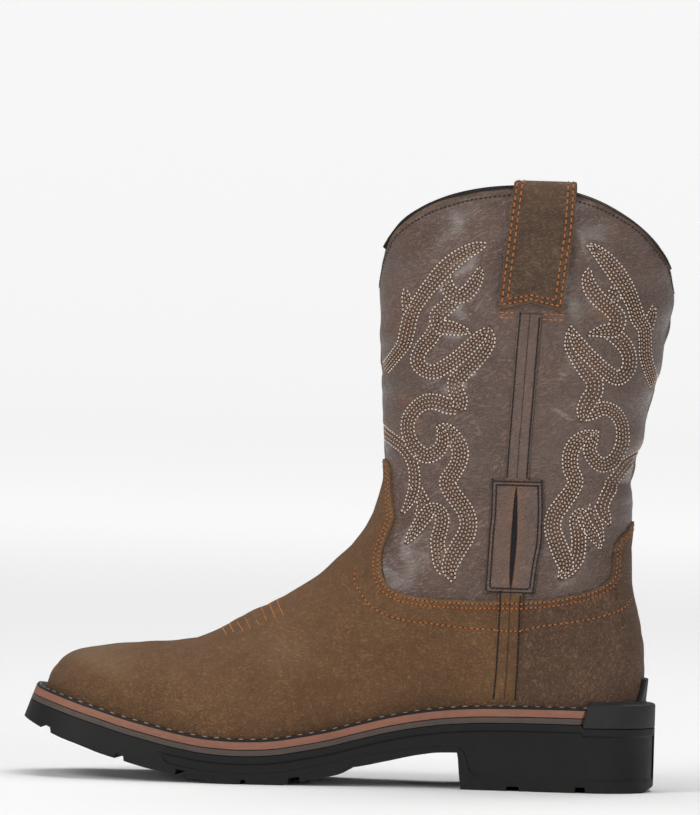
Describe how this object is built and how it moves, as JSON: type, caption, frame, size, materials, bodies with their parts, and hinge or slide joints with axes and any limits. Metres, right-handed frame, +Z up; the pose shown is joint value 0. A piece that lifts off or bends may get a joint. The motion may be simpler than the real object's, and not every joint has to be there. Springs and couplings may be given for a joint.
{
  "type": "western work boot",
  "caption": "Pull-on western work boot with scalloped shaft, stitched foot overlays, pull straps, welt and moulded rubber sole with block heel.",
  "frame": {"origin": "on the floor, under the middle of the boot's box", "axes": "+X from toe to heel, +Y to the inner side of the foot, +Z up; a left boot with its toe to -X"},
  "size_m": [0.3074, 0.1108, 0.2934],
  "materials": {
    "sole_rubber": "matt black moulded rubber",
    "heel_seat_rubber": "matt dark grey moulded rubber",
    "midsole_dark": "grey-brown foam rubber",
    "midsole_rust": "rust-coloured foam rubber",
    "welt": "black ribbed welt with pale stitching",
    "insole": "black fabric over foam",
    "shaft_leather": "smooth mauve-brown leather with a soft sheen",
    "foot_leather": "brown waxy leather with a fine nap",
    "gore": "black elastic",
    "strap_leather": "dark brown pebbled leather"
  },
  "bodies": {
    "root": {"outsole": "sole_rubber", "heel_seat": "heel_seat_rubber", "midsole_dark": "midsole_dark", "midsole_rust": "midsole_rust", "welt": "welt", "insole": "insole", "upper": "shaft_leather", "vamp": "foot_leather", "counter": "foot_leather", "foot_strip_outer": "foot_leather", "foot_strip_inner": "foot_leather", "shaft_strip_outer": "shaft_leather", "shaft_strip_inner": "shaft_leather", "patch_outer": "shaft_leather", "patch_inner": "shaft_leather", "gore_outer": "gore", "gore_inner": "gore", "strap_outer": "strap_leather", "strap_inner": "strap_leather"}
  },
  "joints": []
}
